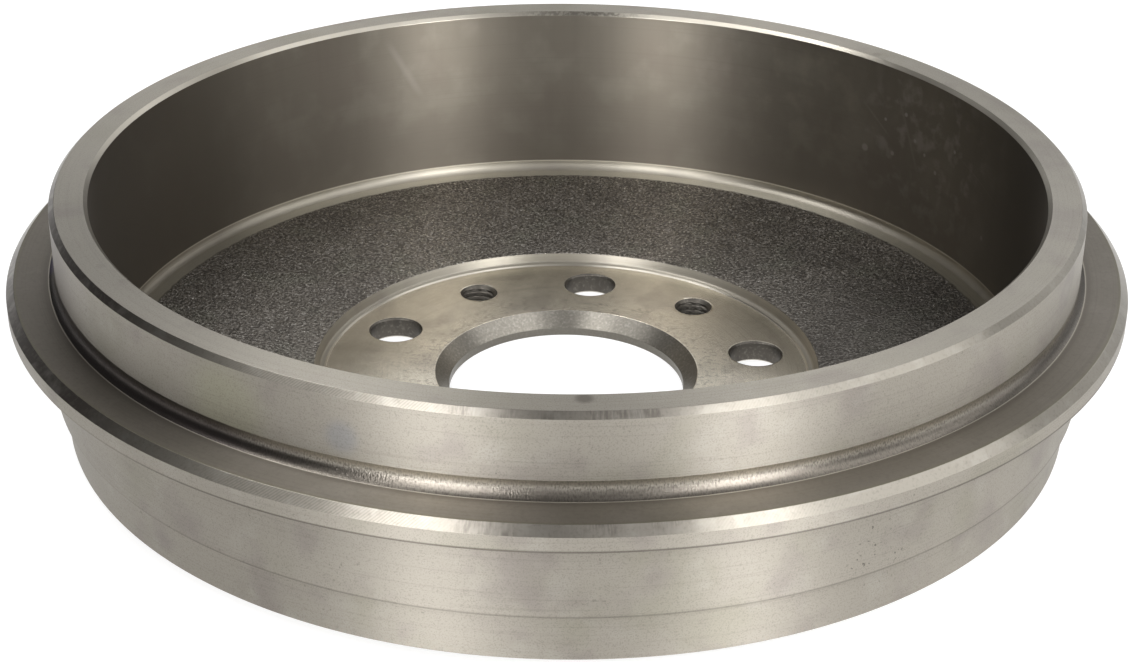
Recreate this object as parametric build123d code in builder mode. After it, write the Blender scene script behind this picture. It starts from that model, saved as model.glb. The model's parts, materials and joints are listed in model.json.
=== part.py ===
"""Brake drum: one grey-iron casting, turned all over except for its web.

The drum stands on its wheel face, with the open rim up. The origin is the centre of
that face, +Z is the axis of rotation, and one bolt hole lies on +Y. All sizes are in
millimetres.
"""

from build123d import *
import math
import os

os.makedirs("parts", exist_ok=True)

# --- Driving dimensions -------------------------------------------------------------

drum_height = 68.0            # from the wheel face to the open rim

# Friction surface inside the wall, and the tool relief at its foot
friction_radius = 127.0       # what the brake shoes rub on
rim_inner_chamfer = 1.05      # lead-in at the open rim
relief_depth = 0.8            # behind the friction surface
relief_lip = 0.4              # height of the sloped lip above the relief
relief_land = 0.3             # height of the upright part of the relief
relief_fillet = 2.2           # between the relief and the shoulder
shoulder_width = 6.6          # turned ring inside the relief

# Outside of the wall: three bands, each measured from the friction surface
neck_wall = 10.0              # next to the open rim
body_wall = 12.6              # below the rib
band_wall = 10.1              # lowest band
rim_outer_chamfer = 1.45
band_height = 13.2            # of the lowest band
band_root_fillet = 0.8        # above the lowest band
lower_edge_chamfer = 0.5

# Rib around the wall, with a rounded groove above it
rib_depth = 21.0              # from the open rim down to the top of the rib
rib_width = 6.0               # along the axis
rib_projection = 12.8         # beyond the neck
rib_chamfer = 2.1
rib_root_fillet = 1.5         # under the rib
groove_height = 4.4           # from the neck down to the top of the rib
groove_run_out = 1.6          # where the groove ends on the rib, beyond the neck
groove_sag = 0.9              # depth of the groove behind its chord

# Cast web between the wall and the hub
web_thickness = 8.0
web_rise = 4.5                # from the edge of the hub up to the shoulder
skirt_height = 2.1            # the wall reaches this far below the web
skirt_width = 11.0            # flat ring under the wall
web_root_fillet = 1.5         # at the two corners under the web

# Hub: the axle flange bears on the seat inside, the wheel on the wheel face outside
seat_recess = 3.0             # the seat is cut this deep into the web
seat_margin = 12.8            # flat of the seat beyond the pitch circle
ledge_rise = 0.4              # small step around the seat
ledge_width = 1.3
seat_wall_lean = 1.2          # the wall around the seat leans out this much
seat_wall_fillet = 0.8        # at the foot of that wall
boss_height = 1.2             # the wheel face stands this proud of the web
boss_margin = 19.0            # wheel face beyond the pitch circle
bore_radius = 33.0
bore_land = 2.3               # height of the straight bore, below its long chamfer

# Holes through the hub, all on one pitch circle
pitch_circle_diameter = 110.0
first_bolt_angle = 90.0       # anticlockwise from +X
bolt_hole_count = 5
bolt_hole_radius = 7.25
bolt_hole_chamfer = 0.5
jack_hole_count = 2           # M10 threads for the screws that push the drum off
jack_hole_radius = 4.25       # tapping size
jack_hole_chamfer = 1.3

# --- Sizes that follow --------------------------------------------------------------

pitch_radius = pitch_circle_diameter / 2
bolt_pitch_angle = 360 / bolt_hole_count

# Radii
neck_radius = friction_radius + neck_wall
body_radius = friction_radius + body_wall
band_radius = friction_radius + band_wall
rib_radius = neck_radius + rib_projection
relief_radius = friction_radius + relief_depth
shoulder_radius = relief_radius - shoulder_width
skirt_radius = band_radius - skirt_width
seat_radius = pitch_radius + seat_margin
ledge_radius = seat_radius + ledge_rise
seat_wall_radius = ledge_radius + ledge_width
web_radius = seat_wall_radius + seat_wall_lean
boss_radius = pitch_radius + boss_margin

# Heights above the wheel face
web_height = boss_height + web_thickness
seat_height = web_height - seat_recess
shoulder_height = web_height + web_rise
relief_top = shoulder_height + relief_fillet + relief_land
friction_bottom = relief_top + relief_lip
rib_top = drum_height - rib_depth
rib_bottom = rib_top - rib_width


def web_underside(radius):
    """Height of the web's underside: its sloping top, lowered by its thickness."""
    slope = web_rise / (shoulder_radius - web_radius)
    return boss_height + slope * (radius - web_radius)


wall_bottom = web_underside(skirt_radius) - skirt_height
band_top = wall_bottom + band_height
boss_flank = web_underside(boss_radius)

# --- The drum -----------------------------------------------------------------------

with BuildPart() as brake_drum:
    # Half section, turned about the axis
    with BuildSketch(Plane.XZ):
        with BuildLine():
            rim = Polyline(
                (friction_radius, drum_height - rim_inner_chamfer),
                (friction_radius + rim_inner_chamfer, drum_height),
                (neck_radius - rim_outer_chamfer, drum_height),
                (neck_radius, drum_height - rim_outer_chamfer),
                (neck_radius, rib_top + groove_height),
            )
            groove = SagittaArc(rim @ 1, (neck_radius + groove_run_out, rib_top), -groove_sag)
            outside = FilletPolyline(
                groove @ 1,
                (rib_radius - rib_chamfer, rib_top),
                (rib_radius, rib_top - rib_chamfer),
                (rib_radius, rib_bottom),
                (body_radius, rib_bottom),
                (body_radius, band_top),
                (band_radius, band_top),
                (band_radius, wall_bottom + lower_edge_chamfer),
                (band_radius - lower_edge_chamfer, wall_bottom),
                (skirt_radius, wall_bottom),
                radius=(0, 0, 0, rib_root_fillet, 0, band_root_fillet, 0, 0),
            )
            underside = FilletPolyline(
                outside @ 1,
                (skirt_radius - skirt_height, web_underside(skirt_radius - skirt_height)),
                (boss_radius + boss_flank, web_underside(boss_radius + boss_flank)),
                (boss_radius, 0),
                (bore_radius, 0),
                radius=(web_root_fillet, web_root_fillet, 0),
            )
            inside = FilletPolyline(
                underside @ 1,
                (bore_radius, bore_land),
                (bore_radius + seat_height - bore_land, seat_height),
                (seat_radius, seat_height),
                (ledge_radius, seat_height + ledge_rise),
                (seat_wall_radius, seat_height + ledge_rise),
                (web_radius, web_height),
                (shoulder_radius, shoulder_height),
                (relief_radius, shoulder_height),
                (relief_radius, relief_top),
                (friction_radius, friction_bottom),
                rim @ 0,
                radius=(0, 0, 0, 0, seat_wall_fillet, 0, 0, relief_fillet, 0, 0),
            )
        make_face()
    revolve(axis=Axis.Z)

    # Bolt holes, with their edges broken on both faces of the hub
    with PolarLocations(pitch_radius, bolt_hole_count, start_angle=first_bolt_angle):
        Hole(bolt_hole_radius)
    chamfer(edges(Select.LAST).filter_by(GeomType.CIRCLE), bolt_hole_chamfer)

    # Jack screw holes, halfway between the first bolt hole and its neighbours
    with PolarLocations(
        pitch_radius,
        jack_hole_count,
        start_angle=first_bolt_angle - bolt_pitch_angle / 2,
        angular_range=bolt_pitch_angle * (jack_hole_count - 1),
        endpoint=True,
    ):
        Hole(jack_hole_radius)
    chamfer(edges(Select.LAST).filter_by(GeomType.CIRCLE), jack_hole_chamfer)

brake_drum.part.label = "brake_drum"
export_step(brake_drum.part, "parts/brake_drum.step")
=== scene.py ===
# %% [markdown]
# A turned cast-iron brake drum
#
# The drum is one casting. A lathe has cut its wall, rim, rib and hub, a drill has made
# the holes, and only the web between the hub and the wall still has its cast skin. This
# lesson builds it the way a lathe sees it: one outline carried round the axis, a flat hub
# laid out around its holes, and one finish for each kind of cut.
#
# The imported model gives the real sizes, so it is loaded first.

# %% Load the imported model
import json
import math

import bmesh
import bpy
import numpy as np
from mathutils import Matrix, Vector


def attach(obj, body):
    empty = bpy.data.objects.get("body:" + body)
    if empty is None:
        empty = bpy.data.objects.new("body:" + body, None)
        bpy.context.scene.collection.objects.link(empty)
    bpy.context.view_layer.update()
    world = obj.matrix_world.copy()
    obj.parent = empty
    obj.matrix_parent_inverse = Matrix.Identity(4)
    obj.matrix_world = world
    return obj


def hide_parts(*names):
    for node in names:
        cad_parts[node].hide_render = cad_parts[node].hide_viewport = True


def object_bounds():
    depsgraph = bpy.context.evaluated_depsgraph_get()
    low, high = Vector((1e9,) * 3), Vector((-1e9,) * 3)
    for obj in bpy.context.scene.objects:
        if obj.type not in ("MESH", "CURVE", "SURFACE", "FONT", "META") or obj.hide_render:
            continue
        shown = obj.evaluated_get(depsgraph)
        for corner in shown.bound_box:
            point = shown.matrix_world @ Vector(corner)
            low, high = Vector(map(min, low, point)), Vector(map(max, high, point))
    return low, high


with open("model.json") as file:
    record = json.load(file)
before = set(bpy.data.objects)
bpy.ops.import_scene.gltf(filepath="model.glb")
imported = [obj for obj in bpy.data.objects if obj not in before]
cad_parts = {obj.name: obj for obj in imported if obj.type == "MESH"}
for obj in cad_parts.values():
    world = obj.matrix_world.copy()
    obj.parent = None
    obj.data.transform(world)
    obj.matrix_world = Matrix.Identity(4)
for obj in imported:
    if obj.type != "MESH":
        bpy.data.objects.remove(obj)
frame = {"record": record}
packed_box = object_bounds()
print("packed box", *packed_box)

# %% [markdown]
# Blender works in metres, but a machinist thinks in millimetres, so every size below is
# in millimetres and is scaled once, when the mesh is made. What other parts must fit is
# read from the record's mounts. The rest are the sizes that a drawing would give.

# %% Sizes, in millimetres
MM = 0.001
fits = {mount["name"]: mount for mount in frame["record"]["mounts"]}

drum_height = packed_box[1][2] / MM
rib_radius = packed_box[1][0] / MM
friction_radius = fits["friction_surface"]["dims"]["r_mm"]
seat_height = fits["hub_seat"]["pos_m"][2] / MM
bore_radius = fits["hub_bore"]["dims"]["r_mm"]
bore_land = fits["hub_bore"]["dims"]["length_mm"]
pitch_radius = fits["wheel_bolts"]["dims"]["pcd_mm"] / 2
bolt_radius = fits["wheel_bolts"]["dims"]["hole_r_mm"]
bolt_count = fits["wheel_bolts"]["dims"]["count"]
tapping_radius = fits["jack_thread_left"]["dims"]["r_mm"]

neck_radius = 137.0
body_radius = 139.6
band_radius = 137.1
seat_radius = 67.8
web_radius = 70.7
shoulder_radius = 121.2
relief_radius = 127.8
boss_radius = 74.0
skirt_radius = 126.1

rib_top = 47.0
rib_bottom = 41.0
band_top = 17.24
wall_bottom = 4.04
web_height = 9.2
shoulder_height = 13.7
web_thickness = 8.0
print(f"drum: {2 * rib_radius:.1f} mm across the rib, {drum_height:.1f} mm high")

# %% [markdown]
# The section of a turned part is a chain of straight cuts. No real corner is perfectly
# sharp: the tool, a file or a deburring brush leaves a tenth of a millimetre of round,
# and that thin round is what catches the light. A Bevel modifier could add it, but it
# would treat a 0.1 mm edge and a 2 mm fillet alike. Here each corner names its own
# radius, so that edges and fillets come from the same few lines.

# %% Round the corners of an outline
EDGE = 0.15  # a corner left by the tool
FINE_TURN = math.radians(9)  # turn between points on a fillet
COARSE_TURN = math.radians(30)  # the same on an edge, which is only a glint wide
FILLET_FROM = 0.5  # radii from here on count as fillets
PLAIN = 100.0  # spacing of a run that needs no points inside


def unit(vector):
    """The vector divided by its length."""
    return vector / np.linalg.norm(vector)


def corner_arc(before, corner, after, radius):
    """The arc that replaces a corner where the path turns by phi.

    Its centre lies radius / cos(phi / 2) from the corner, along the bisector. Its points
    swing from -phi / 2 to phi / 2 about the line from the centre to the corner.
    """
    path_in, path_out = unit(corner - before), unit(after - corner)
    phi = math.acos(min(1.0, path_in @ path_out))
    if radius == 0 or phi < math.radians(1):
        return corner[None]
    bisector, along = unit(path_out - path_in), unit(path_in + path_out)
    centre = corner + bisector * radius / math.cos(phi / 2)
    step = FINE_TURN if radius >= FILLET_FROM else COARSE_TURN
    swing = np.linspace(-phi / 2, phi / 2, max(2, math.ceil(phi / step)) + 1)[:, None]
    return centre + radius * (np.sin(swing) * along - np.cos(swing) * bisector)


def outline(corners):
    """Points along a chain of (radius, height, rounding, finish) corners.

    Each run starts where the arc of its first corner ends and takes that corner's
    finish. If the corner also names a spacing, the run is divided into steps of at most
    that. Returns the points and, for each step between two points, its finish.
    """
    places = np.array([corner[:2] for corner in corners])
    arcs = [places[:1]]
    for i in range(1, len(corners) - 1):
        arcs.append(corner_arc(places[i - 1], places[i], places[i + 1], corners[i][2]))
    arcs.append(places[-1:])
    points, finishes = [arcs[0]], []
    for i in range(len(corners) - 1):
        finish, spacing = (*corners[i][3:], PLAIN)[:2]
        start, end = arcs[i][-1], arcs[i + 1][0]
        steps = max(1, math.ceil(np.linalg.norm(end - start) / spacing))
        run = start + (end - start) * np.linspace(0, 1, steps + 1)[1:, None]
        points += [run, arcs[i + 1][1:]]
        finishes += [finish] * steps
        finishes += [corners[min(i + 1, len(corners) - 2)][3]] * (len(arcs[i + 1]) - 1)
    return np.concatenate(points), finishes


# %% [markdown]
# The groove above the rib was cut by a round-nosed tool, so its section is a circular
# arc. Three numbers fix it: its two ends and its sag, the depth at the middle of the
# chord. The chord and the sag give the radius, and the arc is sampled by angle.

# %% The groove above the rib
def bow(start, end, sag, count):
    """Points strictly between two ends, on an arc that sags to the right of the chord.

    Half the chord and the sag give the radius, (half^2 + sag^2) / (2 sag). The centre is
    radius - sag to the left of the chord's middle.
    """
    start, end = np.array(start), np.array(end)
    half = np.linalg.norm(end - start) / 2
    along = (end - start) / (2 * half)
    right = np.array([along[1], -along[0]])
    radius = (half**2 + sag**2) / (2 * sag)
    centre = (start + end) / 2 - right * (radius - sag)
    reach = math.asin(half / radius)
    swing = np.linspace(-reach, reach, count + 2)[1:-1, None]
    return centre + radius * (np.sin(swing) * along + np.cos(swing) * right)


GROOVE_HEIGHT = 4.4
GROOVE_STEP = 1.6  # how much wider the drum is below the groove than above it
GROOVE_SAG = 0.9

groove_start = (neck_radius, rib_top + GROOVE_HEIGHT)
groove_end = (neck_radius + GROOVE_STEP, rib_top)
groove = bow(groove_start, groove_end, GROOVE_SAG, count=9)
print("groove is deepest at radius", round(groove[:, 0].min(), 2))

# %% [markdown]
# Now the whole section, read like a route: out from the hub seat, up the inside of the
# wall, over the rim, down the outside and back under to the wheel face. Every corner
# names the finish of the cut that starts there. Turned surfaces are exact, so they need
# points only at their ends. The cast web isn't: it gets a point every 1.5 mm, which
# leaves room for the small unevenness that sand gives a casting.

# %% The section of the drum
CAST = 1.5  # spacing that can carry the unevenness of the cast skin
HIDDEN_CAST = 3.0  # the same underneath, where it is rarely seen
MARGIN = 0.4  # flat left around an edge, where the hub's faces join on
CHAMFER_RIM = 1.45
CHAMFER_LEAD_IN = 1.05
CHAMFER_RIB = 2.1
CHAMFER_FOOT = 0.5
FILLET = 1.5  # a corner swept by the round nose of the tool
SMALL_FILLET = 0.8
RELIEF_FILLET = 2.2
RELIEF_HEIGHT = 2.9
RELIEF_SLOPE = 0.4  # height of the slope in from the relief
SEAT_LIP = 0.4  # step out of the hub seat, at 45 degrees
SEAT_RING = 1.7  # from the seat to the foot of the wall round it
SKIRT_FLARE = 2.1  # how far the skirt leans in as it rises


def underside(radius):
    """Height of the web's underside: the web's top line, lowered by its thickness."""
    slope = (shoulder_height - web_height) / (shoulder_radius - web_radius)
    return web_height + slope * (radius - web_radius) - web_thickness


relief_top = shoulder_height + RELIEF_HEIGHT
skirt_edge = skirt_radius - SKIRT_FLARE
boss_edge = boss_radius + underside(boss_radius)

inside = [
    (seat_radius - MARGIN, seat_height, 0, "seat"),
    (seat_radius, seat_height, EDGE / 2, "chamfer"),
    (seat_radius + SEAT_LIP, seat_height + SEAT_LIP, EDGE / 2, "relief"),
    (seat_radius + SEAT_RING, seat_height + SEAT_LIP, SMALL_FILLET, "relief"),
    (web_radius, web_height, 0.25, "cast", CAST),
    (shoulder_radius, shoulder_height, 0.3, "shoulder"),
    (relief_radius, shoulder_height, RELIEF_FILLET, "relief"),
    (relief_radius, relief_top - RELIEF_SLOPE, 0.05, "relief"),
    (friction_radius, relief_top, 0.1, "friction"),
    (friction_radius, drum_height - CHAMFER_LEAD_IN, EDGE, "chamfer"),
    (friction_radius + CHAMFER_LEAD_IN, drum_height, EDGE, "rim"),
    (neck_radius - CHAMFER_RIM, drum_height, EDGE, "chamfer"),
    (neck_radius, drum_height - CHAMFER_RIM, EDGE, "turned"),
    (*groove_start, EDGE, "groove"),
]
around_groove = [(*point, 0, "groove") for point in groove.tolist()]
outside = [
    (*groove_end, EDGE, "rib"),
    (rib_radius - CHAMFER_RIB, rib_top, EDGE, "chamfer"),
    (rib_radius, rib_top - CHAMFER_RIB, EDGE, "turned"),
    (rib_radius, rib_bottom, EDGE, "turned"),
    (body_radius, rib_bottom, FILLET, "turned"),
    (body_radius, band_top, EDGE, "turned"),
    (band_radius, band_top, SMALL_FILLET, "turned"),
    (band_radius, wall_bottom + CHAMFER_FOOT, EDGE, "turned"),
    (band_radius - CHAMFER_FOOT, wall_bottom, EDGE, "turned"),
    (skirt_radius, wall_bottom, EDGE, "cast"),
    (skirt_edge, underside(skirt_edge), FILLET, "cast", HIDDEN_CAST),
    (boss_edge, underside(boss_edge), FILLET, "turned"),
    (boss_radius, 0, EDGE, "seat"),
    (boss_radius - MARGIN, 0, 0, "seat"),
]
section, section_finish = outline(inside + around_groove + outside)

bore_top = bore_radius + seat_height - bore_land
bore_chain = [
    (bore_radius + MARGIN, 0, 0, "seat"),
    (bore_radius, 0, EDGE, "bored"),
    (bore_radius, bore_land, EDGE, "bored"),
    (bore_top, seat_height, EDGE, "seat"),
    (bore_top + MARGIN, seat_height, 0, "seat"),
]
bore_section, bore_finish = outline(bore_chain)
print(f"section: {len(section)} points, bore: {len(bore_section)} points")

# %% [markdown]
# Carrying an outline round an axis is a function of two parameters: the place along the
# outline and the angle. As numpy arrays, that is one product. The meshes of this lesson
# are all such grids, so they share one small class that collects grids and their
# finishes, and welds them into a single closed casting at the end.
#
# One thing a lathe leaves can't be seen from a point's position alone: how far along
# the cut it lies. Tool marks repeat with that distance, so every point keeps it in an
# attribute, for the materials to read.

# %% Collect grids of points
STEPS = 360
RING_STEP = 360 / STEPS  # degrees between the points of a turned ring
FINISHES = ["turned", "friction", "chamfer", "rim", "groove", "rib", "relief",
            "shoulder", "cast", "seat", "bored", "drilled"]


class Casting:
    """Grids of points that will be welded into one mesh."""

    def __init__(self):
        self.points, self.travel, self.faces, self.finish = [], [], [], []
        self.count = 0

    def add(self, grid, travel, finishes):
        """Add a (rows, columns, 3) grid that closes on itself along its columns.

        travel has one distance along the cut for each row or point, and finishes names
        the finish of each strip between two rows.
        """
        rows, columns = grid.shape[:2]
        index = self.count + np.arange(rows * columns).reshape(rows, columns)
        right = np.roll(index, -1, axis=1)
        quads = np.stack([index[:-1], right[:-1], right[1:], index[1:]], axis=-1)
        self.points.append(grid.reshape(-1, 3))
        self.travel.append(np.broadcast_to(travel, (columns, rows)).T.reshape(-1))
        self.faces.append(quads.reshape(-1, 4))
        number = [FINISHES.index(name) for name in finishes]
        self.finish.append(np.repeat(number, columns))
        self.count += rows * columns


def polar(radius, angle, height, centre=(0, 0)):
    """Points at a radius and angle round a centre: (x + r cos a, y + r sin a, z)."""
    return np.stack([centre[0] + radius * np.cos(angle), centre[1] + radius * np.sin(angle),
                     height + 0 * angle], axis=-1)


def turn(points):
    """Carry (radius, height) points round the axis of the drum."""
    angle = np.radians(np.arange(STEPS) * RING_STEP)
    return polar(points[:, :1], angle, points[:, 1:])


def distance_along(points):
    """Distance travelled along a chain of points, from its first point."""
    steps = np.linalg.norm(np.diff(points, axis=0), axis=1)
    return np.concatenate([[0], np.cumsum(steps)])


# %% [markdown]
# Sand moves a little as iron fills the mould, so a cast skin is never a true cone. The
# unevenness is a sum of plane waves: cosines that run in random directions across the
# floor of the drum, with wavelengths of 5 to 14 mm. It fades out towards both ends of
# the cast run, where the lathe has cut. The fine sandy grain is far too small for the
# mesh, and comes later, as bump.

# %% Unevenness of the cast skin
WAVES = 40
LONGEST, SHORTEST = 14.0, 5.0
SWELL = 0.05  # typical height of the unevenness, mm
FADE = 4.0  # distance over which it dies out at a turned edge
SEED = 11


def cast_swell(x, y):
    """Sum over waves of cos(k . p + phase), scaled to the typical height SWELL."""
    random = np.random.default_rng(SEED)
    length = random.uniform(SHORTEST, LONGEST, WAVES)
    heading = random.uniform(0, 2 * math.pi, WAVES)
    phase = random.uniform(0, 2 * math.pi, WAVES)
    wave_x = 2 * math.pi * np.cos(heading) / length
    wave_y = 2 * math.pi * np.sin(heading) / length
    total = np.cos(x[..., None] * wave_x + y[..., None] * wave_y + phase).sum(-1)
    return SWELL * total / math.sqrt(WAVES / 2)


def fade(distance):
    """Smoothstep: 0 at an edge, 1 from FADE on."""
    t = np.clip(distance / FADE, 0, 1)
    return t * t * (3 - 2 * t)


def cast_depth(radius, height):
    """How fully each point of the section takes the unevenness: both sides of the web."""
    above = (height >= web_height) * fade(radius - web_radius)
    above = above * fade(shoulder_radius - radius)
    below = (height < web_height) * (height > underside(boss_radius))
    below = below * fade(radius - boss_edge) * fade(skirt_edge - radius)
    return above + below


drum = Casting()
body_grid = turn(section)
depth = cast_depth(section[:, 0], section[:, 1])[:, None]
body_grid[..., 2] += depth * cast_swell(body_grid[..., 0], body_grid[..., 1])
drum.add(body_grid, distance_along(section), section_finish)
drum.add(turn(bore_section), distance_along(bore_section), bore_finish)
print(f"turned surfaces: {drum.count} points")

# %% [markdown]
# The hub is flat, but it is pierced by seven holes. A boolean would leave long thin
# triangles that shade badly, so the two flat faces are laid out one sector at a time. Each
# hole owns a sector of the ring, bounded halfway to its neighbours. Lines run from the
# hole's edge straight out to the sector's border, and every sector border lands on the
# points of the turned rings, so the faces weld without a gap.

# %% Share the hub out between its holes
SIDE_STEPS = 13  # points along a sector's straight sides
RINGS = 6  # rings between a hole and its sector's border
GATHER = 1.5  # power that draws the rings towards the hole
FIRST_BOLT = 90  # degrees: one bolt hole lies on +Y
hub_hole = {}
for bolt_angle in np.arange(bolt_count) * 360 / bolt_count + FIRST_BOLT:
    hub_hole[bolt_angle % 360] = "bolt"
for name in ("jack_thread_right", "jack_thread_left"):
    x, y, _ = fits[name]["pos_m"]
    hub_hole[round(math.degrees(math.atan2(y, x)), 1) % 360] = "jack"
hole_angles = np.array(sorted(hub_hole))
gap_after = (np.roll(hole_angles, -1) - hole_angles) % 360
print("holes at", hole_angles, "degrees")


def sector_border(first, last, inner, outer):
    """Closed loop round a sector: out at the first angle, along, in at the last, back."""
    sweep = np.radians(np.arange(round((last - first) / RING_STEP)) * RING_STEP)
    low, high = math.radians(first), math.radians(last)
    side = np.arange(SIDE_STEPS) / SIDE_STEPS
    radius = np.concatenate([
        inner + (outer - inner) * side,
        np.full(len(sweep), outer),
        outer + (inner - outer) * side,
        np.full(len(sweep), inner),
    ])
    angle = np.concatenate([
        np.full(SIDE_STEPS, low), low + sweep, np.full(SIDE_STEPS, high), high - sweep,
    ])
    return np.stack([radius * np.cos(angle), radius * np.sin(angle)], axis=-1)


def around_hole(border, centre, radius, height):
    """Grid between a round hole and a border, and the direction of each of its lines.

    A line leaves the hole's centre towards a border point. Its share of the way from
    the hole's edge to the border is t^GATHER.
    """
    spoke = border - centre
    length = np.linalg.norm(spoke, axis=1)
    heading = spoke / length[:, None]
    share = (np.linspace(0, 1, RINGS + 1) ** GATHER)[:, None]
    reach = radius + (length - radius) * share
    flat = centre + heading * reach[..., None]
    grid = np.concatenate([flat, np.full((*flat.shape[:2], 1), height)], axis=-1)
    return grid, np.unwrap(np.arctan2(heading[:, 1], heading[:, 0]))


# %% [markdown]
# A hole's wall is again an outline carried round, this time round the hole's own axis.
# Its chamfers and edges come from the same corners as before. The two smaller holes are
# tapped for M10 jack screws, which push a stuck drum off its flange. A thread is a wave
# in the wall's radius: its phase falls by one pitch for each turn, which winds the wave
# into a right-hand helix. Wherever a countersink is wider than the thread, the
# countersink wins.

# %% Walls of the holes
BOLT_CHAMFER = 0.5
JACK_CHAMFER = 1.3
PITCH = 1.5
THREAD_DEPTH = 0.75  # from the tapped crest down to the root
THREAD_ROWS = 44
CREST = 0.25  # share of half a pitch that is the flat crest
FLANK = 0.6  # share that is the flank; the rest is the root


def bolt_wall():
    """Radius and height down a drilled hole with a small chamfer at both faces."""
    wide = bolt_radius + BOLT_CHAMFER
    chain = [
        (wide + MARGIN, seat_height, 0, "seat"),
        (wide, seat_height, EDGE / 2, "drilled"),
        (bolt_radius, seat_height - BOLT_CHAMFER, EDGE / 2, "drilled"),
        (bolt_radius, BOLT_CHAMFER, EDGE / 2, "chamfer"),
        (wide, 0, EDGE / 2, "seat"),
        (wide + MARGIN, 0, 0, "seat"),
    ]
    return outline(chain)


def thread_radius(height, heading):
    """Wall radius of the tapped hole.

    The wave |2 frac(z / pitch - a / 2 pi) - 1| runs from 0 to 1 and back once a pitch.
    Up to CREST it is the flat crest at tapping size, and over the next FLANK the 60
    degree flank falls to the root. The cone of a 45 degree countersink is the wall
    wherever it is wider.
    """
    phase = height / PITCH - heading / (2 * math.pi)
    wave = np.abs(2 * (phase % 1) - 1)
    cut_depth = THREAD_DEPTH * np.clip((wave - CREST) / FLANK, 0, 1)
    to_face = np.minimum(height, seat_height - height)
    cone = tapping_radius + JACK_CHAMFER - to_face
    return np.maximum(tapping_radius + cut_depth, cone)


print(f"thread: crest radius {tapping_radius}, root radius {tapping_radius + THREAD_DEPTH}")

# %% [markdown]
# Each hole now takes its sector of the seat above and of the wheel face below, and its
# wall joins the two. The wheel face is wider than the seat, so its lines leave the hole
# in slightly other directions, and the lines of the wall twist a little to meet both.

# %% Faces and walls of the hub
def twist(height, heading_top, heading_bottom):
    """Directions of a wall's lines, which turn from one face's layout to the other's."""
    share = ((seat_height - height) / seat_height)[:, None]
    return heading_top + (heading_bottom - heading_top) * share


for middle, before, after in zip(hole_angles, np.roll(gap_after, 1), gap_after):
    kind = hub_hole[middle]
    first, last = middle - before / 2, middle + after / 2
    centre = pitch_radius * np.array(
        [math.cos(math.radians(middle)), math.sin(math.radians(middle))]
    )
    if kind == "bolt":
        edge_radius = bolt_radius + BOLT_CHAMFER + MARGIN
    else:
        edge_radius = tapping_radius + JACK_CHAMFER
    headings = []
    for inner, outer, height in (
        (bore_top + MARGIN, seat_radius - MARGIN, seat_height),
        (bore_radius + MARGIN, boss_radius - MARGIN, 0.0),
    ):
        border = sector_border(first, last, inner, outer)
        face, heading = around_hole(border, centre, edge_radius, height)
        drum.add(face, 0.0, ["seat"] * RINGS)
        headings.append(heading)
    if kind == "bolt":
        wall, wall_finish = bolt_wall()
        heading = twist(wall[:, 1], *headings)
        grid = polar(wall[:, :1], heading, wall[:, 1:], centre)
        drum.add(grid, distance_along(wall), wall_finish)
    else:
        height = np.linspace(seat_height, 0, THREAD_ROWS + 1)
        heading = twist(height, *headings)
        grid = polar(thread_radius(height[:, None], heading), heading, height[:, None], centre)
        drum.add(grid, seat_height - height, ["drilled"] * THREAD_ROWS)
print(f"with the hub: {drum.count} points")

# %% [markdown]
# All the grids meet edge to edge, so welding the points that coincide closes the
# casting. The weld also lets Blender work out which side is out. Last, edges sharper
# than a chosen angle are marked sharp, and a Weighted Normal modifier makes the large
# flats shade flat right up to their small rounds.

# %% Weld the casting
WELD = 1e-6  # metres
SHARP = math.radians(50)


def weld(casting, name):
    """One closed mesh object from all the casting's grids."""
    mesh = bpy.data.meshes.new(name)
    points = np.concatenate(casting.points) * MM
    faces = np.concatenate(casting.faces)
    mesh.from_pydata(points, [], faces.tolist())
    travel = mesh.attributes.new("travel", "FLOAT", "POINT")
    travel.data.foreach_set("value", np.concatenate(casting.travel).astype(np.float32))
    mesh.polygons.foreach_set("material_index", np.concatenate(casting.finish))
    shape = bmesh.new()
    shape.from_mesh(mesh)
    bmesh.ops.remove_doubles(shape, verts=shape.verts, dist=WELD)
    bmesh.ops.recalc_face_normals(shape, faces=shape.faces)
    open_edges = sum(1 for edge in shape.edges if len(edge.link_faces) != 2)
    shape.to_mesh(mesh)
    shape.free()
    mesh.polygons.foreach_set("use_smooth", np.ones(len(mesh.polygons), bool))
    mesh.set_sharp_from_angle(angle=SHARP)
    print(f"{name}: {len(mesh.polygons) * 2} triangles, {open_edges} open edges")
    piece = bpy.data.objects.new(name, mesh)
    bpy.context.scene.collection.objects.link(piece)
    even = piece.modifiers.new("even_flats", "WEIGHTED_NORMAL")
    even.keep_sharp = True
    return piece


drum_piece = weld(drum, "brake_drum_casting")

# %% [markdown]
# The shape is done, so now the finishes. They are all one grey iron, and what tells them
# apart is the tool that made them. Each finish is a tree of shader nodes. Here the trees
# are written as sums: one small class adds a node with its values and links, and gives
# short names to the sums that keep coming back.

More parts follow.
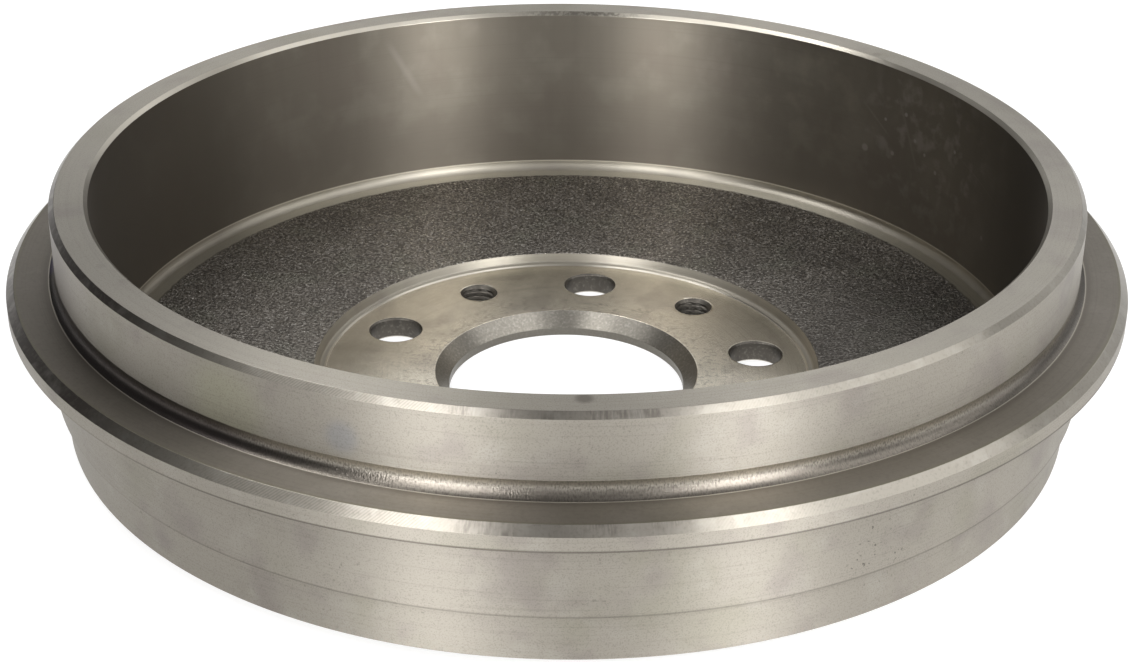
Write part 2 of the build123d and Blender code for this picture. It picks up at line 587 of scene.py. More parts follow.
# %% Sums made of nodes
class Nodes:
    """A tree of nodes, with short ways to add to it."""

    def __init__(self, tree):
        self.tree = tree

    def feed(self, node, inputs):
        """Give each named input of a node its value or its link."""
        for key, value in dict(inputs).items():
            if isinstance(value, bpy.types.NodeSocket):
                self.tree.links.new(value, node.inputs[key])
            else:
                node.inputs[key].default_value = value

    def add(self, kind, inputs=(), **settings):
        """Add a node, set it up and feed it."""
        node = self.tree.nodes.new("ShaderNode" + kind)
        for name, value in settings.items():
            setattr(node, name, value)
        self.feed(node, inputs)
        return node

    def math(self, operation, *values):
        """The result of one sum."""
        return self.add("Math", dict(enumerate(values)), operation=operation).outputs[0]

    def times(self, first, second):
        """The product of two values: one pattern, only where the other is."""
        return self.math("MULTIPLY", first, second)

    def either(self, most, *others):
        """The largest of some values: 1 where any of them is 1."""
        for value in others:
            most = self.math("MAXIMUM", most, value)
        return most

    def ramp(self, value, start, end, low=0.0, high=1.0):
        """Smoothstep: low up to start, high from end on."""
        steps = {"Value": value, "From Min": start, "From Max": end,
                 "To Min": low, "To Max": high}
        return self.add("MapRange", steps, interpolation_type="SMOOTHSTEP").outputs[0]

    def line(self, value, centre, width, most=1.0):
        """most where a value is at the centre, falling smoothly to 0 at width from it."""
        apart = self.math("ABSOLUTE", self.math("SUBTRACT", value, centre))
        return self.ramp(apart, 0.0, width, most, 0.0)


# %% [markdown]
# Patterns are drawn from a few measurements at every point: its place in millimetres, how
# far along the cut it lies, its radius, and how far round the drum it is.

# %% Patterns on the drum
class Patterns(Nodes):
    """Patterns drawn from where a point is."""

    def __init__(self, tree):
        super().__init__(tree)
        metres = self.add("TexCoord").outputs["Object"]
        scaled = self.add("VectorMath", {0: metres, "Scale": 1 / MM}, operation="SCALE")
        self.place = scaled.outputs[0]
        self.x, self.y, self.height = self.add("SeparateXYZ", {0: self.place}).outputs
        self.radius = self.math("SQRT", self.math("ADD", self.times(self.x, self.x),
                                                  self.times(self.y, self.y)))
        self.angle = self.math("ARCTAN2", self.y, self.x)
        self.travel = self.add("Attribute", attribute_name="travel").outputs["Fac"]

    def noise(self, size, detail=2.0, vector=None):
        """Smooth noise around 0.5, in patches of about size millimetres."""
        inputs = {"Vector": vector or self.place, "Scale": 1 / size, "Detail": detail}
        return self.add("TexNoise", inputs).outputs["Fac"]

    def marks(self, length, width, across=None):
        """Noise drawn out along the cut: x and y count in lengths, travel in widths."""
        return self.noise(1.0, 2.0, self.add("CombineXYZ", {
            0: self.math("DIVIDE", self.x, length),
            1: self.math("DIVIDE", self.y, length),
            2: self.math("DIVIDE", across or self.travel, width),
        }).outputs[0])

    def dashes(self, radius, width, length, across=None):
        """Noise drawn out across the cut: the way round counts in widths."""
        around = self.math("MULTIPLY", self.angle, radius)
        return self.noise(1.0, 3.0, self.add("CombineXYZ", {
            0: self.math("DIVIDE", around, width),
            1: self.math("DIVIDE", across or self.travel, length),
        }).outputs[0])

    def waves(self, count, lean):
        """sin(count a + lean t): count waves round the drum, leaning along the travel."""
        phase = self.math("MULTIPLY_ADD", self.angle, count, self.times(self.travel, lean))
        return self.math("MULTIPLY_ADD", self.math("SINE", phase), 0.5, 0.5)

    def spot(self, place, size, full, most=1.0):
        """most round a place, falling smoothly to 0 at size millimetres from it.

        The fall is 1 at the place and 0 at size. Everything above full is the flat top.
        """
        inputs = {0: self.place, 1: place}
        apart = self.add("VectorMath", inputs, operation="DISTANCE").outputs["Value"]
        return self.ramp(self.ramp(apart, 0.0, size, 1.0, 0.0), 0.0, full, high=most)


# %% [markdown]
# A finish starts as bare metal, and each pattern either lays a tint over its colour or
# raises its surface a few thousandths of a millimetre.
#
# Turned iron is covered with fine grooves that run round the drum. They scatter light
# across themselves and hardly at all along themselves, which is why a highlight on the
# flat hub looks like a bow tie. The shader's anisotropy does that, once its tangent
# follows the grooves.

# %% A finish
QUARTER_TURN = 0.25  # from along the grooves to across them
made = {}


class Finish(Patterns):
    """One material, built up in steps over bare iron."""

    def __init__(self, cut, colour, roughness, grain=0.85):
        """grain says how strongly the grooves stretch a highlight across themselves."""
        self.material = bpy.data.materials.new(f"iron_{cut}")
        self.material.use_nodes = True
        super().__init__(self.material.node_tree)
        self.shader = self.tree.nodes["Principled BSDF"]
        grooves = self.add("Tangent", direction_type="RADIAL", axis="Z").outputs[0]
        self.feed(self.shader, {
            "Base Color": (*colour, 1), "Metallic": 1.0, "Roughness": roughness,
            "Anisotropic": grain, "Anisotropic Rotation": QUARTER_TURN, "Tangent": grooves,
        })
        made[cut] = self
        print(f"iron_{cut}: roughness {roughness}, grain {grain}")

    def tint(self, amount, colour, within=None):
        """Mix a colour over the finish, by an amount from 0 to 1, within a pattern."""
        amount = self.times(amount, within) if within else amount
        target = self.shader.inputs["Base Color"]
        if target.is_linked:
            under = target.links[0].from_socket
        else:
            under = tuple(target.default_value)
        mix = self.add("Mix", {0: amount, 6: under, 7: (*colour, 1)}, data_type="RGBA")
        self.feed(self.shader, {"Base Color": mix.outputs[2]})

    def wash(self, value, start, end, most, colour):
        """Tint where a value passes from start, up to most at end and beyond."""
        self.tint(self.ramp(value, start, end, high=most), colour)

    def bump(self, height, depth):
        """Raise the surface by depth millimetres times a height."""
        inputs = {"Height": height, "Distance": depth * MM}
        normal = self.shader.inputs["Normal"]
        if normal.is_linked:
            inputs["Normal"] = normal.links[0].from_socket
        self.feed(self.shader, {"Normal": self.add("Bump", inputs).outputs[0]})


# %% [markdown]
# Three marks are found on nearly every cut. Grey iron is full of flakes of graphite, which
# show as dark flecks under a millimetre wide. The feed of the tool leaves faint rings. And
# oil and handling leave soft stains some centimetres wide, which are the weakest of all:
# they are only found by looking for them.

# %% Marks that most finishes share
OLIVE = (0.335, 0.317, 0.258)
VIOLET = (0.3, 0.268, 0.248)
PALE = (0.45, 0.425, 0.38)
# graphite grey; at the foot of the hub's wall it is also laid on as painted shade
GRAPHITE_AND_SHADE = (0.16, 0.145, 0.125)


def patches(iron, size, detail, start, end, most, colour):
    """Tint where noise of a size is above start, up to most where it is above end."""
    iron.wash(iron.noise(size, detail), start, end, most, colour)


def stains(iron, amount):
    """Soft stains: patches of olive, violet and paler iron, a few centimetres wide."""
    patches(iron, 24, 3, 0.5, 0.72, amount, OLIVE)
    patches(iron, 15, 3, 0.5, 0.72, amount, VIOLET)
    patches(iron, 9, 4, 0.52, 0.74, 0.6 * amount, PALE)


def flecks(iron, amount):
    """Graphite: dark flecks 0.4 to 1 mm wide, and hollows of the same pattern."""
    fine = iron.noise(0.36, 2)
    iron.wash(fine, 0.48, 0.7, amount, GRAPHITE_AND_SHADE)
    return fine


def feed_rings(iron, length, width, start, most, colour=GRAPHITE_AND_SHADE, across=None):
    """Rings of a width, broken after about a length. Returns them, for a bump."""
    rings = iron.marks(length, width, across)
    iron.wash(rings, start, 0.75, most, colour)
    return rings


# %% [markdown]
# Most of the outside is fine turned: the neck, the rib's edge and both bands. Seen close,
# it is grey iron and not steel. A few flakes of graphite have torn out into pits, and in
# one place, where the casting is porous, they crowd together. Two small old stains have
# dried on the neck, and a wide brown patch of painted shade darkens its far left. Two inner
# edges, under the rib and under the step above the foot band, carry painted shade, which
# fades out on the left.

# %% Turned
# the first entry is a wide patch of painted shade on the neck's far left; the other two are
# real stains
STAINS_AND_LEFT_SHADE = [((-127, -52, 58), 48, (0.2, 0.172, 0.152)),
              ((-62, -122, 56), 18, (0.4, 0.385, 0.29)),
              ((-32.9, -133, 56.6), 6.5, (0.31, 0.31, 0.312))]
POROUS_SPOT = (86, -110, 23)
PIT = (0.045, 0.04, 0.035)
# painted shade in the creases under the rib and under the step above the foot band
SHADED_EDGES = [(rib_bottom, 0.6), (band_top, 0.34)]
EDGE_SHADE = (0.065, 0.052, 0.043)

iron = Finish("turned", (0.385, 0.357, 0.31), roughness=0.5)
stains(iron, 0.6)
for place, size, colour in STAINS_AND_LEFT_SHADE:
    iron.tint(iron.spot(place, size, 0.8, 0.7), colour)
rings = feed_rings(iron, 40, 0.4, 0.5, 0.16)
fine = flecks(iron, 0.32)
pitted = iron.ramp(iron.noise(11, 2), 0.52, 0.68, high=0.5)
pitted = iron.either(pitted, iron.spot(POROUS_SPOT, 12, 0.4))
pits = iron.ramp(iron.noise(0.9, 1), 0.66, 0.74, high=0.6)
iron.tint(pits, PIT, pitted)
# the painted shade along the two creases fades out on the far left
away_from_far_left = iron.ramp(iron.x, -130, -55)
for edge, most in SHADED_EDGES:
    line_shade = iron.ramp(iron.line(iron.height, edge, 0.9), 0.1, 0.7, high=most)
    iron.tint(line_shade, EDGE_SHADE, away_from_far_left)
iron.bump(rings, 0.004)
iron.bump(fine, 0.005)

# %% [markdown]
# The rim was faced in one pass, square to the axis, and wiped clean. It has fewer stains
# than the outside, and the rings are a little plainer. Something as wide as a pencil left
# a dark smudge at its inner edge, and there are three fainter ones round it.

# %% Rim
SMUDGES = [((20.2, -128.4, 68), 3.4, 0.7), ((-104, -79, 68), 2.0, 0.15),
           ((-96.5, -86, 68), 1.6, 0.15), ((82, 101, 68), 2.4, 0.3)]

iron = Finish("rim", (0.4, 0.374, 0.326), roughness=0.42)
stains(iron, 0.45)
rings = feed_rings(iron, 80, 0.4, 0.48, 0.12)
fine = flecks(iron, 0.3)
for place, size, most in SMUDGES:
    iron.tint(iron.spot(place, size, 0.8, most), GRAPHITE_AND_SHADE)
iron.bump(rings, 0.002)
iron.bump(fine, 0.004)

# %% [markdown]
# The chamfers were cut last, with a tool that trembled. Chatter leaves a fine slanting
# hatch, a little under a millimetre from line to line, and between the lines the iron is
# torn and mottled. The hatch is loud on two sides and faint on the rest, and on the quiet
# side upright scratches take its place. The far left is darkened with blotchy painted
# shade. The chamfer inside the rim is lightened with a painted highlight, except for one
# grimy place at the back. The number of lines must be whole, or the pattern would jump
# where the angle goes from 180 to -180 degrees.

# %% Chamfers
CHATTER_LINES = 1080
CHATTER_LEAN = 6.7  # radians of the wave for each mm across the chamfer
LOUD_SIDES = [((-34, -137, 56), 44, 1.0), ((60, -127, 56), 34, 0.3)]
QUIET_SIDE = (18, -140, 60)
# where the chamfers carry painted shade on the far left
CHAMFER_SHADED_SIDE = (-130, -75, 52)
GRIMY_PLACE = (-12, 127.5, 67.5)
LEFT_SIDE_SHADE = (0.11, 0.092, 0.083)
# a light colour laid on as a painted highlight wherever it is used
PAINTED_HIGHLIGHT = (0.62, 0.58, 0.5)

iron = Finish("chamfer", (0.345, 0.321, 0.278), roughness=0.32)
quiet = iron.spot(QUIET_SIDE, 40, 0.4)
loud = iron.ramp(iron.noise(30, 2), 0.45, 0.65, high=0.25)
for place, size, most in LOUD_SIDES:
    loud = iron.either(loud, iron.spot(place, size, 0.5, most))
loud = iron.times(loud, iron.math("SUBTRACT", 1.0, quiet))
hatch = iron.ramp(iron.waves(CHATTER_LINES, CHATTER_LEAN), 0.3, 0.9)
lines = iron.times(hatch, loud)
iron.tint(iron.times(lines, 0.33), GRAPHITE_AND_SHADE)
# painted shade on the far left, broken into blotches
left_shade = iron.spot(CHAMFER_SHADED_SIDE, 86, 0.55, 0.8)
blotched = iron.ramp(iron.noise(1.6, 4), 0.62, 0.5, low=0.75)
iron.tint(left_shade, LEFT_SIDE_SHADE, blotched)
upright = iron.ramp(iron.dashes(neck_radius, 0.6, 4), 0.35, 0.62, high=0.75)
clouded = iron.ramp(iron.noise(8, 2), 0.42, 0.58, low=0.15)
iron.tint(iron.times(upright, clouded), GRAPHITE_AND_SHADE, quiet)
iron.tint(iron.times(quiet, 0.2), VIOLET)
torn = iron.noise(0.8, 4)
iron.wash(torn, 0.48, 0.75, 0.3, GRAPHITE_AND_SHADE)
patches(iron, 6, 3, 0.5, 0.7, 0.4, PALE)
# painted highlight on the chamfer inside the rim
iron.wash(iron.radius, friction_radius + 2.0, friction_radius + 1.5, 0.6, PAINTED_HIGHLIGHT)
ragged = iron.ramp(iron.noise(1.1, 4), 0.4, 0.58, high=0.55)
iron.tint(iron.spot(GRIMY_PLACE, 30, 0.8), GRAPHITE_AND_SHADE, ragged)
iron.bump(lines, 0.005)
iron.bump(torn, 0.01)

# %% [markdown]
# A form tool plunged straight in to cut the groove. Its marks run round the drum as usual,
# but the load made it tear the iron in short upright dashes. Their bump is what glitters
# where the groove catches the light, and their colour is partly dark torn iron and partly
# painted glints. The lower part of the groove and its left side carry painted shade, its
# upper part a painted highlight, and in one place a bluish reflection is painted on.

# %% Groove
# painted shade for the lower part of the groove and for its left side
GROOVE_FOOT_SHADE = (0.09, 0.079, 0.068)
GROOVE_SHADED_SIDE = (-99, -95, 50)
GROOVE_SIDE_SHADE = (0.085, 0.072, 0.07)
# where a bluish reflection is painted on the groove
BLUE_REFLECTION_PLACE = (-131.5, -38, 49.5)
PAINTED_BLUE_REFLECTION = (0.19, 0.16, 0.34)

iron = Finish("groove", (0.48, 0.443, 0.38), roughness=0.29, grain=0.7)
dashes = iron.dashes(neck_radius, 0.4, 0.75)
iron.wash(dashes, 0.48, 0.64, 0.75, GRAPHITE_AND_SHADE)
# painted glints on the dashes
iron.wash(dashes, 0.5, 0.3, 0.9, PAINTED_HIGHLIGHT)
patches(iron, 7, 3, 0.5, 0.7, 0.4, VIOLET)
# painted shade low in the groove, painted highlight high in it
iron.wash(iron.height, rib_top + 3.2, rib_top + 1.3, 0.85, GROOVE_FOOT_SHADE)
iron.wash(iron.height, rib_top + 2.4, rib_top + 3.6, 0.5, PAINTED_HIGHLIGHT)
# painted shade on the groove's left side
iron.tint(iron.spot(GROOVE_SHADED_SIDE, 80, 0.5, 0.8), GROOVE_SIDE_SHADE)
# painted blue reflection
iron.tint(iron.spot(BLUE_REFLECTION_PLACE, 9, 0.7, 0.6), PAINTED_BLUE_REFLECTION)
iron.bump(dashes, 0.045)

# %% [markdown]
# The rib's top was faced with a coarser feed than the rim, and it holds the film of rust
# inhibitor better, so it is darker and browner. Against the groove it carries painted
# shade, below a painted highlight line where the two meet, and the film has crept to the
# outer edge as a thin olive line.

# %% Rib top
# film colour, also laid on as painted shade on the rib against the groove and low on the
# friction surface
FILM_AND_SHADE = (0.15, 0.132, 0.11)
OLIVE_FILM = (0.21, 0.2, 0.135)
film_edge = rib_radius - CHAMFER_RIB

iron = Finish("rib", (0.215, 0.195, 0.165), roughness=0.46)
rings = feed_rings(iron, 110, 0.5, 0.48, 0.3, FILM_AND_SHADE)
stains(iron, 0.12)
patches(iron, 1.2, 4, 0.45, 0.75, 0.3, FILM_AND_SHADE)
# painted shade against the groove, then a painted highlight line where the rib meets it
iron.wash(iron.radius, groove_end[0] + 2.6, groove_end[0] + 0.3, 0.55, FILM_AND_SHADE)
iron.tint(iron.line(iron.radius, groove_end[0], 0.45, 0.7), PAINTED_HIGHLIGHT)
iron.wash(iron.radius, film_edge - 1.0, film_edge, 0.55, OLIVE_FILM)
flecks(iron, 0.2)
iron.bump(rings, 0.005)

# %% [markdown]
# Two marks need a helper of their own. A rub mark, where something was dragged across on
# a slant, is a straight line in angle and height. And painted shade darkens two sides of
# the drum's inside, down to the shoulder, so three finishes use it.

# %% Rubs and painted side shade
# painted shade on the left and right of the drum's inside
SHADED_SIDES = [((-127, 5, 42), 120), ((127, -5, 42), 80)]
SIDE_SHADE = (0.12, 0.106, 0.088)


def rub_mark(iron, first, last, width, most):
    """most on a line from one (angle, height) to another, falling to 0 at its width."""
    (angle_1, height_1), (angle_2, height_2) = first, last
    steps = {"Value": iron.height, "From Min": height_1, "From Max": height_2}
    share = iron.add("MapRange", steps).outputs[0]
    swing, start = math.radians(angle_2 - angle_1), math.radians(angle_1)
    centre = iron.math("MULTIPLY_ADD", share, swing, start)
    apart = iron.times(iron.math("SUBTRACT", iron.angle, centre), friction_radius)
    ends = iron.math("PINGPONG", share, 0.5)
    return iron.times(iron.line(apart, 0.0, width, most), iron.ramp(ends, 0.0, 0.3))


def shade_sides(iron, amount):
    """Darken a finish with painted shade on two sides."""
    for place, size in SHADED_SIDES:
        iron.tint(iron.spot(place, size, 0.7, amount), SIDE_SHADE)


# %% [markdown]
# The shoes rub on the friction surface, so it is bored smooth and true, and it carries a
# thin dark film, with painted shade that deepens downwards. On it lie broad soft clouds,
# fine upright shading from the boring bar's slight flutter, painted shade on two sides,
# dust and fingerprints on the right, and four rub marks. A painted highlight line runs
# along its lower edge.

# %% Friction surface
RUBS = [((124.5, 64), (118.5, 40), 2.0), ((45.5, 60), (40, 34), 1.0),
        ((33.5, 50), (19.5, 42), 0.9), ((52, 54), (46, 44), 1.0)]
SPECKS = [((80.4, 98.3, 38.5), 1.8), ((91.9, 87.7, 54), 1.0), ((88.7, 90.9, 40), 1.1),
          ((101.4, 76.5, 40.2), 1.0), ((106.2, 69.6, 50), 0.9), ((115.2, 53.5, 30), 1.1),
          ((95, 84.3, 47), 0.9), ((98, 80.8, 44), 0.8), ((86, 93.5, 50), 0.8)]
HANDLED_PLACE = (100, 80, 45)
DUSTY_PLACE = (62, 111, 46)
BROWN_CLOUD = (0.205, 0.175, 0.15)
PALE_CLOUD = (0.33, 0.312, 0.262)
SMEAR = (0.4, 0.38, 0.345)
DUST = (0.36, 0.335, 0.272)

iron = Finish("friction", (0.208, 0.188, 0.157), roughness=0.48, grain=0.8)
patches(iron, 26, 3, 0.45, 0.7, 0.35, BROWN_CLOUD)
patches(iron, 16, 4, 0.48, 0.7, 0.3, PALE_CLOUD)
upright = iron.dashes(friction_radius, 6, 60, iron.height)
iron.wash(upright, 0.42, 0.78, 0.2, FILM_AND_SHADE)
rings = feed_rings(iron, 90, 0.6, 0.5, 0.15, FILM_AND_SHADE)
prints = iron.ramp(iron.noise(5, 4), 0.48, 0.7, high=0.45)
iron.tint(iron.spot(HANDLED_PLACE, 42, 0.6), SMEAR, prints)
cloud = iron.ramp(iron.noise(7, 5), 0.42, 0.72, high=0.32)
iron.tint(iron.spot(DUSTY_PLACE, 36, 0.7), DUST, cloud)
for first, last, width in RUBS:
    iron.tint(rub_mark(iron, first, last, width, 0.19), SMEAR)
for place, size in SPECKS:
    iron.tint(iron.spot(place, size, 0.6, 0.8), SMEAR)
# painted shade, deeper towards the bottom of the drum
iron.wash(iron.height, 58, 18, 0.6, FILM_AND_SHADE)
shade_sides(iron, 0.8)
# painted highlight along the friction surface's lower edge
iron.tint(iron.line(iron.height, relief_top + 0.1, 0.5), PAINTED_HIGHLIGHT)
iron.bump(rings, 0.0025)

# %% [markdown]
# Below the friction surface the tool ran out in a rounded relief and a flat shoulder, and
# the wall round the hub was cut the same way. Nothing rubs there and nobody wipes it, so
# all keep the plain rings of the cut. The shoulder has the faint green cast of old cutting
# oil and a ragged edge of dark skin where the casting begins. Both take the painted shade
# on two sides, and the hub's wall has painted shade at its foot.

# %% Relief and shoulder
SKIN = (0.11, 0.102, 0.09)

iron = Finish("relief", (0.47, 0.438, 0.375), roughness=0.47)
rings = feed_rings(iron, 150, 0.35, 0.5, 0.25)
stains(iron, 0.3)
shade_sides(iron, 0.25)
# painted shade at the foot of the hub's wall
foot_shade = iron.ramp(iron.height, web_height - 0.6, web_height - 1.4, high=0.12)
on_hub = iron.ramp(iron.radius, boss_radius + 1.0, boss_radius)
iron.tint(foot_shade, GRAPHITE_AND_SHADE, on_hub)
iron.bump(rings, 0.004)

iron = Finish("shoulder", (0.52, 0.49, 0.41), roughness=0.42)
rings = feed_rings(iron, 150, 0.5, 0.48, 0.3, OLIVE)
shade_sides(iron, 0.4)
ragged = iron.math("MULTIPLY_ADD", iron.noise(2.5, 4), 1.6, iron.radius)
iron.wash(ragged, shoulder_radius + 1.6, shoulder_radius + 0.9, 0.7, SKIN)
flecks(iron, 0.2)
iron.bump(rings, 0.004)

# %% [markdown]
# The web keeps the skin of the casting: dark with scale, and sandy, because each grain of
# the mould's sand has left its dent. The grain is about half a millimetre and steep, so
# single facets of it flash. Colour follows the grain, since the tops are blasted cleaner
# than the hollows. One side carries painted shade, in the colour of the scale.

# %% Cast skin
SCALE = (0.085, 0.078, 0.07)
BLASTED = (0.48, 0.46, 0.43)
BRIGHT_GRAIN = (0.62, 0.6, 0.56)
RUDDY_SKIN = (0.25, 0.23, 0.215)
GREEN_SKIN = (0.24, 0.245, 0.2)
# where the web carries painted shade on one side
SHADED_WEB_SIDE = (105, 15, 12)

iron = Finish("cast", (0.235, 0.216, 0.192), roughness=0.46, grain=0)
patches(iron, 22, 3, 0.48, 0.72, 0.4, SCALE)
patches(iron, 12, 3, 0.48, 0.7, 0.4, RUDDY_SKIN)
patches(iron, 14, 2, 0.5, 0.7, 0.4, GREEN_SKIN)
sand = iron.noise(0.8, 2)
fine = iron.noise(0.7, 1)
iron.wash(sand, 0.54, 0.4, 0.8, SCALE)
iron.wash(sand, 0.57, 0.7, 0.7, BLASTED)
iron.wash(fine, 0.64, 0.72, 1.0, BRIGHT_GRAIN)
# painted shade on one side of the web, in the scale colour
iron.tint(iron.spot(SHADED_WEB_SIDE, 75, 0.6, 0.45), SCALE)
iron.feed(iron.shader, {"Roughness": iron.ramp(fine, 0.35, 0.65, 0.6, 0.3)})
iron.bump(sand, 0.28)
iron.bump(fine, 0.05)

# %% [markdown]
# The hub is faced where it sits on the wheel flange. Its rings are read from the radius,
# because this face is laid out around the holes and has no single line of travel. Oil
# has dried on it in soft blots, and towards the bore the surface is grainy, where the
# facing tool ran slow and tore more than it cut.

# %% Hub face
iron = Finish("seat", (0.765, 0.712, 0.6), roughness=0.22, grain=0.84)
rings = feed_rings(iron, 60, 0.5, 0.5, 0.16, across=iron.radius)
stains(iron, 0.35)
near_bore = iron.ramp(iron.radius, 54, 38, 0.15, 0.75)
torn = iron.ramp(iron.noise(1.1, 4), 0.48, 0.7, high=0.5)
iron.tint(torn, GRAPHITE_AND_SHADE, near_bore)
fine = flecks(iron, 0.2)
iron.bump(rings, 0.004)
iron.bump(fine, 0.005)

# %% [markdown]
# The bore's cone was cut roughly, since nothing touches it. It is mottled like frost on a
# window, silver and grey. The land below it is the same iron under a dark film.

# %% Bored
LAND_FILM = (0.146, 0.137, 0.118)

iron = Finish("bored", (0.29, 0.271, 0.236), roughness=0.38, grain=0.6)
mottle = iron.noise(0.7, 3)
iron.wash(mottle, 0.44, 0.68, 0.32, GRAPHITE_AND_SHADE)
iron.wash(mottle, 0.48, 0.3, 0.45, PALE)
iron.wash(iron.height, bore_land + 0.25, bore_land - 0.25, 0.76, LAND_FILM)
iron.bump(mottle, 0.02)

# %% [markdown]
# The bolt holes were drilled right through, and the two jack holes drilled and tapped.
# Chips scored their walls and the holes kept their oil, so they are dark and brown, and
# so are the small chamfers at their mouths.

# %% Drilled
iron = Finish("drilled", (0.115, 0.105, 0.091), roughness=0.45, grain=0)
iron.wash(iron.marks(3, 4), 0.45, 0.7, 0.5, SCALE)
patches(iron, 0.8, 3, 0.5, 0.75, 0.2, PALE)
iron.bump(iron.noise(0.8, 3), 0.01)

# %% [markdown]
# The materials go on in the order of the finish numbers that the mesh already carries.

# %% Put the finishes on
for cut in FINISHES:
    drum_piece.data.materials.append(made[cut].material)

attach(drum_piece, "root")
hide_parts("brake_drum")
print(f"{len(drum_piece.data.materials)} finishes on {drum_piece.name}")

# %% [markdown]
# Camera, floor and light make a small white studio. The camera stands where a person
# would, a little above the drum and close enough to see in over the rim, with a lens of
# medium length so that the near side isn't swollen. It rolls by half a degree, as a
# hand-held camera does.

# %% Camera
camera_place = (68.65, -543.43, 297.35)
CAMERA_TURN, CAMERA_TILT, CAMERA_ROLL = 7.192, 62.989, 0.486
LENS = 69.89
SENSOR = 36.0

camera_data = bpy.data.cameras.new("camera")
camera_data.lens = LENS
camera_data.sensor_width = SENSOR
camera = bpy.data.objects.new("camera", camera_data)
bpy.context.scene.collection.objects.link(camera)
stand = Matrix.Translation([value * MM for value in camera_place])
for degrees, axis in ((CAMERA_TURN, "Z"), (CAMERA_TILT, "X"), (CAMERA_ROLL, "Z")):
    stand = stand @ Matrix.Rotation(math.radians(degrees), 4, axis)
camera.matrix_world = stand
bpy.context.scene.camera = camera
print(f"the camera is {math.dist(camera_place, (0, 0, 0)):.0f} mm from the origin")

# %% [markdown]
# The floor is a sheet of white paper. A sheet lit by the lamps alone would come out
# uneven, and much more light would burn out the iron. So part of its white is a glow that
# only the camera, a mirror and a glass see. The lamps still light the rest, which leaves
# the soft shadow that tells the eye where the drum stands.

# %% Floor
FLOOR_REACH = 6.0  # metres from the middle to an edge
PAPER = 0.34
PAPER_ROUGHNESS = 0.9
GLOW = 0.78

floor_corners = [(x * FLOOR_REACH, y * FLOOR_REACH, 0)
                 for x, y in ((-1, -1), (1, -1), (1, 1), (-1, 1))]
floor_mesh = bpy.data.meshes.new("floor")
floor_mesh.from_pydata(floor_corners, [], [(0, 1, 2, 3)])
floor = bpy.data.objects.new("floor", floor_mesh)
bpy.context.scene.collection.objects.link(floor)

paper = bpy.data.materials.new("paper")
paper.use_nodes = True
paper_nodes = Nodes(paper.node_tree)
ray = paper_nodes.add("LightPath").outputs
looked_at = paper_nodes.either(ray["Is Camera Ray"], ray["Is Glossy Ray"],
                               ray["Is Transmission Ray"])
paper_nodes.feed(paper.node_tree.nodes["Principled BSDF"], {
    "Base Color": (PAPER, PAPER, PAPER, 1), "Roughness": PAPER_ROUGHNESS,
    "Specular IOR Level": 0.0, "Emission Color": (1, 1, 1, 1),
    "Emission Strength": paper_nodes.times(looked_at, GLOW),
})
floor_mesh.materials.append(paper)
print(f"paper: {2 * FLOOR_REACH:.0f} m wide, white {PAPER}, glow {GLOW}")

# %% [markdown]
# Bare metal shows what stands around it, so the lamps are placed by the highlights that
# they should give. Twelve softboxes stand three metres away, in three groups. Three
# uprights in front draw the bright upright bands on the wall, outside and inside. Four
# high ones give the flat hub its bow ties and the rim its shine. Five wide, weak ones at
# the right and behind lift the far wall and the chamfers.

# %% Lamps
LAMP_DISTANCE = 3.0

# name, azimuth and height in degrees, width and height in metres, brightness
SOFTBOXES = [
    ("front_left", 252, 21, 0.9, 2.0, 9.5),
    ("front_middle", 284, 24, 1.4, 1.6, 0.9),
    ("front_right", 313, 22, 0.85, 2.0, 11.0),
    ("high_front", 240, 52, 1.0, 1.0, 4.5),
    ("high_middle", 300, 60, 1.0, 1.0, 1.0),
    ("high_left", 168, 64, 1.0, 1.0, 8.4),
    ("high_right", 350, 43, 2.8, 2.1, 1.75),
    ("low_right", 5, 9, 2.2, 0.9, 1.5),
    ("back", 84, 33, 3.8, 2.0, 0.85),
    ("back_right", 43, 21, 1.3, 1.3, 0.65),
    ("back_left", 130, 45, 1.0, 1.0, 0.6),
    ("high_back", 70, 55, 1.0, 1.0, 1.4),
]


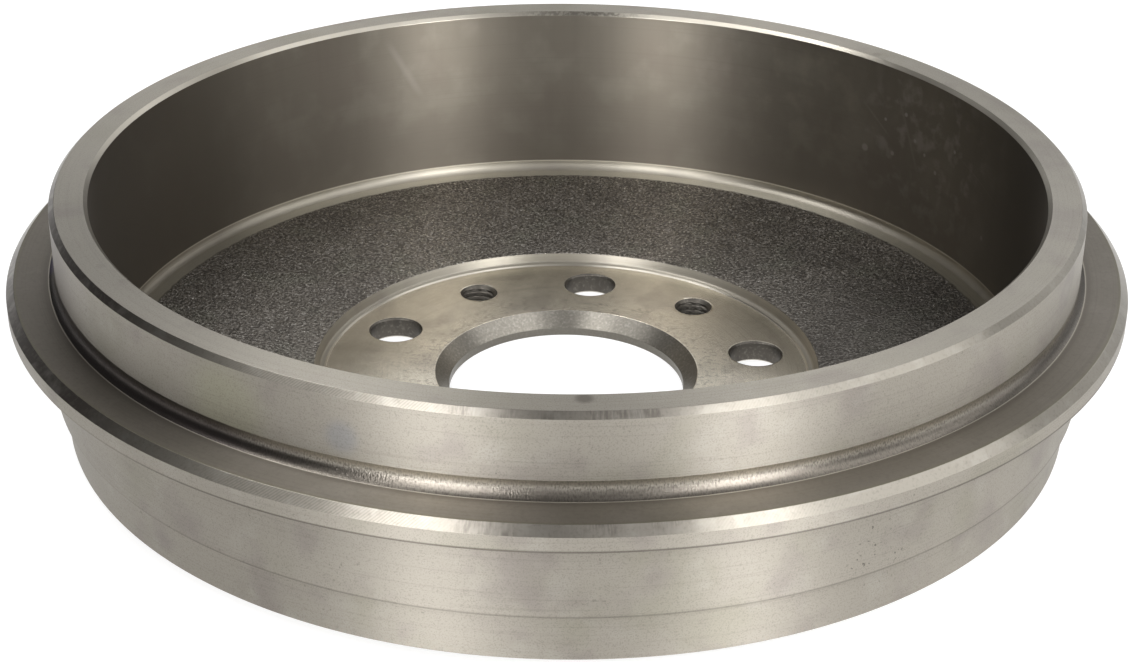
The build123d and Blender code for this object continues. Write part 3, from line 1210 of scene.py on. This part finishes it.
def softbox(name, azimuth, lift, width, tall, radiance):
    """A softbox that faces the drum, seen from it at an azimuth and a lift in degrees.

    A flat lamp of area A that looks L bright gives pi L A watts.
    """
    data = bpy.data.lights.new(f"softbox_{name}", "AREA")
    data.shape = "RECTANGLE"
    data.size = width
    data.size_y = tall
    data.energy = math.pi * radiance * width * tall
    lamp = bpy.data.objects.new(f"softbox_{name}", data)
    bpy.context.scene.collection.objects.link(lamp)
    azimuth, lift = math.radians(azimuth), math.radians(lift)
    flat = LAMP_DISTANCE * math.cos(lift)
    lamp.location = (flat * math.cos(azimuth), flat * math.sin(azimuth),
                     LAMP_DISTANCE * math.sin(lift))
    lamp.rotation_euler = (math.pi / 2 - lift, 0, azimuth + math.pi / 2)
    lamp.visible_camera = False
    return data.energy


watts = [softbox(*row) for row in SOFTBOXES]
print(f"{len(watts)} softboxes, {sum(watts):.0f} W in all")

# %% [markdown]
# All the rest is a dim grey room, a little lighter on the right. Without dark
# surroundings, turned iron looks like plastic, and a room with edges or corners would
# show them in the metal. Only the metal and the paper see this grey. For the camera, and
# for a glass, what lies beyond the floor is as white as the paper.

# %% World
ROOM_DARK, ROOM_LIGHT = 0.06, 0.2
WHITE = 1.0
lighter_side = (0.95, 0.0, 0.3)

room = bpy.data.worlds.new("room")
room.use_nodes = True
bpy.context.scene.world = room
room_nodes = Nodes(room.node_tree)
ray = room_nodes.add("LightPath").outputs
seen = room_nodes.either(ray["Is Camera Ray"], ray["Is Transmission Ray"])
direction = room_nodes.add("TexCoord").outputs["Generated"]
toward = room_nodes.add("VectorMath", {0: direction, 1: lighter_side},
                        operation="DOT_PRODUCT").outputs["Value"]
level = room_nodes.add("MapRange", {"Value": toward, "From Min": -0.3, "From Max": 1.0,
                                    "To Min": ROOM_DARK, "To Max": ROOM_LIGHT}).outputs[0]
strength = room_nodes.add("Mix", {0: seen, 2: level, 3: WHITE}).outputs[0]
room_nodes.feed(room.node_tree.nodes["Background"],
                {"Color": (1, 1, 1, 1), "Strength": strength})

bpy.context.scene.view_settings.view_transform = "Standard"
print(f"room: {ROOM_DARK} on the dark side, {ROOM_LIGHT} on the light side")

# %% [markdown]
# Last, the box of the imported model is printed again.

# %% Print the imported model's box
print("packed  ", packed_box)
